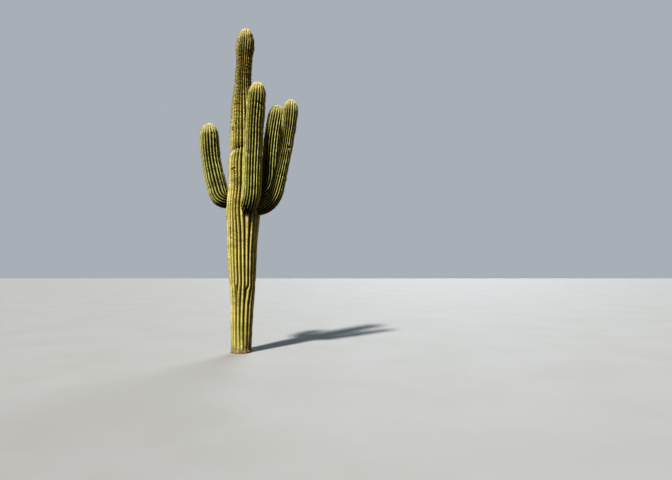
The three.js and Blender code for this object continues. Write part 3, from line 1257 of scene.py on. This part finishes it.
@dataclass(frozen=True)
class Armour:
    """The felt pads along the rib crests and the spines that stand on them.

    A row of coat says, at a distance below a limb's tip: how far apart the pads are along a crest,
    how many spines stand on one, how long they are, and how pale, from 0 weathered to 1 new.
    """

    coat: Stations
    first_place: float = 0.05
    last_below_tip: float = 0.001
    walk_steps: int = 4000
    stop_scatter: float = 0.14
    row_scatter: float = 0.05
    least_standing: float = 0.45
    count_spread: Span = (0.8, 1.15)
    length_spread: Span = (0.85, 1.15)
    tone_scatter: float = 0.2
    tone_steps: Span = (0.3, 0.7)
    bare_scar: float = 0.3
    bare_callus: float = 0.35
    base_width: float = 0.0024
    width_share: float = 0.75
    width_gain: float = 0.5
    gain_length: float = 0.03
    turn_scatter: float = 0.4
    turn_by_site: float = 1.7
    spine_spread: Span = (0.7, 1.15)
    root_share: float = 0.35
    central_share: float = 0.24
    central_lean: float = 40.0
    central_length: float = 1.25
    radial_lean: Span = (50.0, 80.0)
    radial_length: float = 0.72
    pad_length: float = 0.0075
    pad_width: float = 0.0055
    pad_height: float = 0.0035
    pad_sink: float = 0.0015
    pad_sides: int = 6
    least_height: float = 0.07
    least_pitch: float = 0.012
    seed: int = 71

    def places(self, limb: Limb) -> tuple[Floats, Floats]:
        """Walks up every crest of a limb and sets its areoles.

        Args:
            limb: The limb.

        Returns:
            The distances along the limb and the columns.
        """
        rng = np.random.default_rng(self.seed + limb.seed)
        found: list[tuple[float, float]] = []
        start = max(limb.skin_start, self.first_place)
        table = np.linspace(start, limb.length - self.last_below_tip, self.walk_steps)
        radius = limb.crest_radius(table)
        slope = np.hypot(1, np.gradient(radius, table))
        spacing = between(self.coat, limb.length - table, 1)
        density = 1 / spacing * slope
        stretches = 0.5 * (density[1:] + density[:-1]) * np.diff(table)
        walked = np.concatenate([[0], np.cumsum(stretches)])
        for rib in range(limb.ribs):
            count = int(walked[-1])
            stops = rng.uniform(0, 1) + np.arange(count)
            stops = stops + rng.uniform(-self.stop_scatter, self.stop_scatter, count)
            along = np.interp(stops, walked, table)
            pitch = TURN * np.interp(along, table, radius) / limb.ribs
            keep = rng.uniform(0, 1, count) < pitch / self.least_pitch
            column = rib + 0.5 + rng.uniform(-self.row_scatter, self.row_scatter, count)
            found += zip(along[keep], column[keep])
        along, column = np.array(found).T
        keep = limb.rib_layout(along, column)[1] > self.least_standing
        return along[keep], column[keep]

    def sites(self, limb: Limb) -> Sites:
        """Sets a limb's areoles and says how each is armed.

        Args:
            limb: The limb.

        Returns:
            The sites of its areoles.
        """
        along, column = self.places(limb)
        points, out, up, beside = limb.frames(along, column)
        values = limb.surface(along, column)[1]
        rng = np.random.default_rng(self.seed + limb.seed + 1)
        below = limb.length - along
        total = len(along)
        many = between(self.coat, below, 2) * rng.uniform(*self.count_spread, total)
        length = between(self.coat, below, 3) * rng.uniform(*self.length_spread, total)
        pale = between(self.coat, below, 4)
        pale = pale + rng.uniform(-self.tone_scatter, self.tone_scatter, total)
        tone = np.digitize(pale, self.tone_steps)
        sites = Sites(points, out, up, beside, np.round(many).astype(int), length, tone)
        bare = (values["scar"] > self.bare_scar) | (values["filled"] > self.bare_callus)
        return sites.picked(~bare & (points[:, 2] > self.least_height))

    def spines(self, sites: Sites) -> Shape:
        """Builds the spines of some sites, four small faces each.

        Args:
            sites: The sites.

        Returns:
            The spines.
        """
        rng = np.random.default_rng(self.seed + len(sites.points))
        site = np.repeat(np.arange(len(sites.points)), sites.count)
        order = np.arange(len(site)) - np.repeat(np.cumsum(sites.count) - sites.count, sites.count)
        total = len(site)
        central = rng.uniform(0, 1, total) < self.central_share
        lean = np.where(
            central,
            rng.uniform(0, self.central_lean, total),
            rng.uniform(*self.radial_lean, total),
        )
        lean = np.radians(lean)
        round_it = order * GOLDEN_ANGLE + rng.uniform(-self.turn_scatter, self.turn_scatter, total)
        round_it = round_it + site * self.turn_by_site
        out, up, beside = sites.out[site], sites.up[site], sites.beside[site]
        flat = np.cos(round_it)[:, None] * up + np.sin(round_it)[:, None] * beside
        way = np.cos(lean)[:, None] * out + np.sin(lean)[:, None] * flat
        length = sites.length[site] * rng.uniform(*self.spine_spread, total)
        length *= np.where(central, self.central_length, self.radial_length)
        root = sites.points[site] + flat * (self.root_share * self.pad_width)
        ends = root + way * length[:, None]
        steep = np.abs(way[:, 2:]) > 0.7
        helper = np.cross(way, np.where(steep, [[1.0, 0, 0]], [[0, 0, 1.0]]))
        side = helper / np.linalg.norm(helper, axis=1, keepdims=True)
        other = np.cross(way, side)
        width = self.width_share + self.width_gain * length[:, None] / self.gain_length
        half = self.base_width / 2 * width
        corners = []
        for third in range(3):
            turn = third * TURN / 3
            corners.append(root + half * (math.cos(turn) * side + math.sin(turn) * other))
        points = np.stack([*corners, ends], 1).reshape(-1, 3)
        pattern = [[0, 1, 3], [1, 2, 3], [2, 0, 3], [0, 2, 1]]
        faces = copies(pattern, total)
        return Shape(points, [faces], slots=np.repeat(sites.tone[site], len(pattern)))

    def pads(self, sites: Sites) -> Shape:
        """Builds the felt pads of some sites, as low closed domes.

        Args:
            sites: The sites.

        Returns:
            The pads.
        """
        sides = self.pad_sides
        turns = np.arange(sides) * TURN / sides
        rim = sites.points[:, None] - self.pad_sink * sites.out[:, None]
        rim = rim + self.pad_length * np.cos(turns)[None, :, None] * sites.up[:, None]
        rim = rim + self.pad_width * np.sin(turns)[None, :, None] * sites.beside[:, None]
        top = sites.points + self.pad_height * sites.out
        points = np.concatenate([rim, top[:, None]], 1).reshape(-1, 3)
        around = [[side, sides, (side + 1) % sides] for side in range(sides)]
        under = [[0, side, side + 1] for side in range(1, sides - 1)]
        faces = copies(around + under, len(sites.points))
        return Shape(points, [faces], slots=np.repeat(sites.tone, len(around + under)))


@dataclass
class Saguaro:
    """The whole plant: its trunk and arms, their skins, and the armour on them."""

    trunk: Trunk
    arms: tuple[Arm, ...]
    trunk_armour: Armour
    arm_armour: Armour
    trunk_skin: SkinFinish
    arm_skin: SkinFinish
    trunk_zones: tuple[float, ...] = (0.0, 3.0, 4.75, 7.0)
    trunk_tuck: float = 0.01
    arm_tuck: float = 0.005
    bend_steps: int = 80

    def in_trunk(self, points: Floats) -> NDArray[np.bool_]:
        """Says which points lie inside the trunk.

        Args:
            points: The points.

        Returns:
            Whether each lies inside.
        """
        middle = self.trunk.middle(points[:, 2])
        radius = self.trunk.crest_radius(np.minimum(points[:, 2], self.trunk.length))
        return np.linalg.norm(points - middle, axis=1) < radius - self.trunk_tuck

    def in_arms(self, points: Floats) -> NDArray[np.bool_]:
        """Says which points lie inside an arm.

        Args:
            points: The points.

        Returns:
            Whether each lies inside.
        """
        inside = np.zeros(len(points), bool)
        for arm in self.arms:
            along = np.linspace(0, arm.bend_from + arm.bend_length, self.bend_steps)
            middle, radius = arm.middle(along), arm.crest_radius(along)
            for centre, reach in zip(middle, radius):
                inside |= np.linalg.norm(points - centre, axis=1) < reach - self.arm_tuck
        return inside

    def dress_skin(self, limb: Limb, finish: SkinFinish) -> bpy.types.Object:
        """Builds a limb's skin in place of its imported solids.

        Args:
            limb: The limb.
            finish: Its skin's finish.

        Returns:
            The skin's piece.
        """
        piece = limb.skin().make(f"{limb.name}_skin", [finish.material()])
        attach(piece, "root")
        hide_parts(*limb.nodes)
        return piece

    def dress_armour(
        self, name: str, armour: Armour, sites: Sites, tones: Mapping[str, list[bpy.types.Material]]
    ) -> Iterator[bpy.types.Object]:
        """Builds the spines and the felt pads of some sites.

        Args:
            name: What the pieces' names start with.
            armour: The armour that the sites carry.
            sites: The sites.
            tones: Each kind's materials, from weathered to new.

        Yields:
            One piece for each kind.
        """
        shapes = (armour.spines(sites), armour.pads(sites))
        for shape, (kind, materials) in zip(shapes, tones.items()):
            piece = shape.make(f"{name}_{kind}", materials)
            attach(piece, "root")
            yield piece

    def build(self) -> Iterator[bpy.types.Object]:
        """Builds every piece of the plant.

        Yields:
            The pieces, in order.
        """
        tones = {
            "spines": [tone.spine() for tone in SpineTone],
            "areoles": [tone.felt() for tone in SpineTone],
        }
        yield self.dress_skin(self.trunk, self.trunk_skin)
        sites = self.trunk_armour.sites(self.trunk)
        sites = sites.picked(~self.in_arms(sites.points))
        names = ("low", "middle", "top")
        for low, high, zone in zip(self.trunk_zones, self.trunk_zones[1:], names):
            here = (sites.points[:, 2] >= low) & (sites.points[:, 2] < high)
            armed = sites.picked(here)
            yield from self.dress_armour(f"trunk_{zone}", self.trunk_armour, armed, tones)
        for arm in self.arms:
            yield self.dress_skin(arm, self.arm_skin)
            sites = self.arm_armour.sites(arm)
            armed = sites.picked(~self.in_trunk(sites.points))
            yield from self.dress_armour(arm.name, self.arm_armour, armed, tones)


@dataclass(frozen=True)
class Lamp:
    """A broad far light: where it shines from and how wide it looks, in degrees.

    Its bearing is counted as the arms' are, and its height from level.
    """

    name: str
    bearing: float
    height: float
    strength: float
    softness: float
    colour: Colour = (1.0, 1.0, 1.0)

    def hang(self) -> bpy.types.Object:
        """Hangs the light.

        Returns:
            The light.
        """
        data = bpy.data.lights.new(self.name, "SUN")
        data.energy = self.strength
        data.angle = math.radians(self.softness)
        data.color = self.colour
        light = bpy.data.objects.new(self.name, data)
        lean, turn = math.radians(90 - self.height), math.radians(self.bearing + 90)
        light.rotation_euler = (lean, 0, turn)
        bpy.context.scene.collection.objects.link(light)
        return light


@dataclass(frozen=True)
class Studio:
    """A plain pale floor, soft light and a camera where the photograph was taken from."""

    floor_half: float = 60.0
    sight: float = 240.0
    eye: tuple[float, float, float] = (1.815, -10.14, 1.65)
    pitch: float = 2.846
    focal_pixels: float = 523.0
    sensor: float = 36.0
    dome: Colour = srgb(214, 219, 226)
    dome_strength: float = 0.09
    backdrop_strength: float = 0.45
    key: Lamp = Lamp("key", -121.5, 48.0, 5.2, 5.0)
    fill: Lamp = Lamp("fill", 78.0, 22.0, 1.9, 40.0, (0.86, 1.0, 1.12))

    def floor(self) -> bpy.types.Object:
        """Lays the floor.

        Returns:
            The floor.
        """
        half = self.floor_half
        points = np.array([[-half, -half, 0], [half, -half, 0], [half, half, 0], [-half, half, 0]])
        faces = [np.array([[0, 1, 2, 3]])]
        floor = Shape(points.astype(float), faces).make("floor", [FloorFinish().material()])
        floor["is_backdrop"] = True
        return floor

    def camera(self) -> bpy.types.Object:
        """Sets the camera where the photograph was taken from.

        Returns:
            The camera.
        """
        data = bpy.data.cameras.new("photograph")
        data.sensor_width = self.sensor
        data.lens = self.sensor * self.focal_pixels / PHOTO_WIDTH
        data.clip_end = self.sight
        camera = bpy.data.objects.new("photograph", data)
        camera.location = self.eye
        camera.rotation_euler = (math.radians(90 + self.pitch), 0, 0)
        bpy.context.scene.collection.objects.link(camera)
        bpy.context.scene.camera = camera
        return camera

    def world(self) -> None:
        """Surrounds the studio with even light, in front of a paler plain backdrop."""
        world = bpy.data.worlds.new("studio")
        world.use_nodes = True
        nodes = Nodes(world.node_tree, "BACKGROUND")
        seen = nodes.node("ShaderNodeLightPath", {}, {}).outputs["Is Camera Ray"]
        paler = Value(nodes.tree, seen) * (self.backdrop_strength - self.dome_strength)
        nodes.feed(nodes.shader.inputs["Color"], self.dome)
        nodes.feed(nodes.shader.inputs["Strength"], self.dome_strength + paler)
        bpy.context.scene.world = world

    def build(self) -> None:
        """Builds the whole studio."""
        self.floor()
        self.camera()
        self.world()
        self.key.hang()
        self.fill.hang()
        view = bpy.context.scene.view_settings
        view.view_transform, view.look = "Standard", "Very High Contrast"


def arms() -> tuple[Arm, ...]:
    """Gives the four arms with their sizes.

    Returns:
        The left, front, right front and right rear arm.
    """
    shared = {
        "slot": "arm_skin",
        "ribs": 18,
        "skin_start": 0.04,
        "sharpness": ((0.0, 0.75), (1.2, 0.95), (2.4, 1.05)),
    }
    tips = {"left": 0.186, "front": 0.17, "right_front": 0.149, "right_rear": 0.165}
    tip_slenderness = 1.85

    def common(name: str, seed: int) -> dict[str, object]:
        """Gives what an arm shares with the others, under its own name.

        Args:
            name: Which arm it is.
            seed: Its seed.

        Returns:
            The values to make the arm from.
        """
        return {
            "name": f"{name}_arm",
            "nodes": (f"{name}_arm_elbow", f"{name}_arm_upright"),
            "seed": seed,
            "tip_length": tip_slenderness * tips[name],
            "crown_radius": tips[name],
            **shared,
        }

    return (
        Arm(
            **common("left", 200),
            length=1.772,
            bearing=178,
            root_height=2.905,
            start_heading=5,
            bend_from=0.052,
            bend_length=0.36,
            bent_heading=74,
            tip_heading=90,
            elbow_radius=0.188,
            waist_radius=0.184,
            root_out=0.183,
            neck_share=0.58,
            swell_place=0.75,
            waists=(Waist(1.07, 0.01, 0.022), Waist(0.468, 0.008, 0.022)),
            pits=(
                Pit(0.476, 0.659, 0.026, 0.014),
                Pit(1.54, 0.847, 0.022, 0.012),
                Pit(1.604, 0.957, 0.026, 0.012),
            ),
        ),
        Arm(
            **common("front", 300),
            sunned=0.78,
            length=2.494,
            bearing=-60,
            root_height=2.713,
            start_heading=26,
            bend_from=0.0,
            bend_length=0.617,
            bent_heading=87,
            tip_heading=78,
            elbow_radius=0.166,
            waist_radius=0.168,
            root_out=0.19,
            waists=(
                Waist(2.088, 0.007, 0.02),
                Waist(1.762, 0.005, 0.022),
                Waist(1.636, 0.007, 0.02),
            ),
            pits=(
                Pit(2.118, 0.468, 0.016, 0.01),
                Pit(2.076, 0.434, 0.014, 0.009),
                Pit(2.078, 0.532, 0.018, 0.01),
                Pit(1.998, 0.427, 0.02, 0.012),
                Pit(1.102, 0.624, 0.026, 0.014),
                Pit(0.218, 0.361, 0.028, 0.012),
                Pit(0.182, 0.421, 0.03, 0.012),
            ),
        ),
        Arm(
            **common("right_front", 400),
            sunned=0.5,
            length=2.489,
            bearing=-5,
            root_height=2.727,
            start_heading=11,
            bend_from=0.047,
            bend_length=0.706,
            bent_heading=76.5,
            tip_heading=85.5,
            elbow_radius=0.146,
            waist_radius=0.127,
            waists=(Waist(1.536, 0.008, 0.02), Waist(0.98, 0.005, 0.022)),
            pits=(Pit(1.536, 0.366, 0.026, 0.014),),
        ),
        Arm(
            **common("right_rear", 500),
            sunned=0.3,
            length=2.334,
            bearing=45,
            root_height=2.977,
            start_heading=16,
            bend_from=0.104,
            bend_length=0.76,
            bent_heading=87,
            tip_heading=76.5,
            elbow_radius=0.168,
            waist_radius=0.172,
            root_out=0.13,
            waists=(Waist(1.7, 0.007, 0.022), Waist(1.25, 0.006, 0.022)),
        ),
    )


def turned(bearing: float) -> float:
    """Gives a bearing as a share of a full turn."""
    return (bearing / 360) % 1


def trunk(limbs: Sequence[Arm]) -> Trunk:
    """Gives the trunk with its sizes, marks and the joints of its arms.

    Args:
        limbs: The arms that grow out of it.

    Returns:
        The trunk.
    """
    joint_rise = 0.03
    return Trunk(
        name="trunk",
        nodes=("trunk",),
        slot="trunk_skin",
        seed=100,
        length=6.36,
        ribs=22,
        tip_length=0.36,
        tip_inset=0.03,
        sharpness=((0.0, 0.62), (3.6, 0.65), (4.6, 0.9), (6.36, 1.0)),
        ripple=((3.9, 0.001), (4.5, 0.006), (5.1, 0.008), (5.7, 0.007), (5.95, 0.001)),
        waists=(
            Waist(3.93, 0.027, 0.082, 0.068),
            Waist(3.935, 0.006, 0.02, 0.068),
            Waist(4.62, 0.005, 0.025),
            Waist(4.97, 0.008, 0.024),
            Waist(5.36, 0.005, 0.02),
            Waist(5.76, 0.005, 0.024),
        ),
        pits=(
            Pit(3.505, turned(-128.5), 0.024, 0.065, PitKind.NEST),
            Pit(3.52, turned(-115.5), 0.024, 0.065, PitKind.NEST),
            Pit(4.393, turned(-119.6), 0.024, 0.016),
            Pit(4.319, turned(-141), 0.024, 0.016),
            Pit(4.274, turned(-140.4), 0.022, 0.016),
            Pit(3.93, turned(-104.5), 0.026, 0.016),
            Pit(3.947, turned(-85), 0.026, 0.016),
            Pit(6.192, turned(-27.5), 0.028, 0.02),
            Pit(5.197, turned(-33), 0.024, 0.01),
            Pit(2.866, turned(-110), 0.013, 0.007),
            Pit(2.553, turned(-110), 0.013, 0.007),
            Pit(2.376, turned(-137.5), 0.014, 0.008),
            Pit(2.337, turned(-136), 0.013, 0.007),
            Pit(2.295, turned(-137), 0.014, 0.008),
            Pit(2.254, turned(-138), 0.013, 0.007),
            Pit(2.185, turned(-137), 0.014, 0.008),
        ),
        joints=tuple(Joint(arm.bearing, arm.root_height + joint_rise) for arm in limbs),
    )


def armours() -> tuple[Armour, Armour]:
    """Gives how the limbs are armed.

    Returns:
        The trunk's armour and the arms'.
    """
    on_trunk = Armour(
        coat=(
            (0.0, 0.012, 22.0, 0.012, 1.4),
            (0.06, 0.015, 19.0, 0.013, 0.8),
            (0.2, 0.024, 14.0, 0.015, 0.36),
            (0.45, 0.024, 15.0, 0.019, 0.25),
            (0.7, 0.021, 18.0, 0.024, 0.38),
            (1.5, 0.022, 18.0, 0.023, 0.42),
            (2.2, 0.027, 13.0, 0.02, 0.44),
            (3.3, 0.03, 11.0, 0.019, 0.45),
            (4.5, 0.034, 9.0, 0.018, 0.35),
            (5.6, 0.042, 6.0, 0.014, 0.1),
            (6.4, 0.046, 5.0, 0.012, 0.0),
        )
    )
    on_arms = Armour(
        coat=(
            (0.0, 0.012, 22.0, 0.012, 1.4),
            (0.06, 0.015, 19.0, 0.013, 0.8),
            (0.2, 0.024, 14.0, 0.015, 0.52),
            (1.0, 0.028, 13.0, 0.016, 0.52),
            (2.5, 0.032, 10.0, 0.016, 0.42),
        )
    )
    return on_trunk, on_arms


def skins() -> tuple[SkinFinish, SkinFinish]:
    """Gives the finishes of the skins.

    Returns:
        The trunk's skin, yellowed by age, and the greener skin of the arms.
    """
    on_trunk = SkinFinish(
        name="trunk_skin",
        valley=srgb(115, 110, 55),
        flank=srgb(118, 117, 59),
        flank_pale=srgb(141, 134, 71),
        young=srgb(87, 87, 44),
        sunned=srgb(134, 127, 67),
        crest=srgb(199, 185, 128),
        band=srgb(108, 98, 50),
    )
    on_arms = SkinFinish(
        name="arm_skin",
        # the arms' valleys are darker than their flanks: partly their greener skin, partly painted
        # shade in the valleys
        valley=srgb(50, 56, 26),
        flank=srgb(60, 78, 37),
        flank_pale=srgb(77, 91, 48),
        young=srgb(96, 98, 50),
        sunned=srgb(125, 129, 66),
        crest=srgb(190, 182, 125),
        band=srgb(64, 69, 30),
        # the arms' cork collars, under the elbows, are darker than the trunk's cork: partly cork,
        # partly painted shade under the elbows
        cork=srgb(104, 92, 64),
        cork_dark=srgb(62, 54, 38),
    )
    return on_trunk, on_arms


def write_sizes() -> None:
    """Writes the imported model's box and the visual model's box."""
    boxes = {"cad": CAD_BOX, "visual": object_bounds()}
    plain = {name: [[float(x) for x in corner] for corner in box] for name, box in boxes.items()}
    log.info("sizes: %s", plain)


def main() -> None:
    """Builds the studio and the plant, and reports each piece."""
    logging.basicConfig(level=logging.INFO, format="%(message)s", stream=sys.stdout)
    Studio().build()
    limbs = arms()
    plant = Saguaro(trunk(limbs), limbs, *armours(), *skins())
    for piece in plant.build():
        mesh = piece.data
        log.info("%s: %d triangles", piece.name, len(mesh.loops) - 2 * len(mesh.polygons))
    write_sizes()


if __name__ == "__main__":
    main()
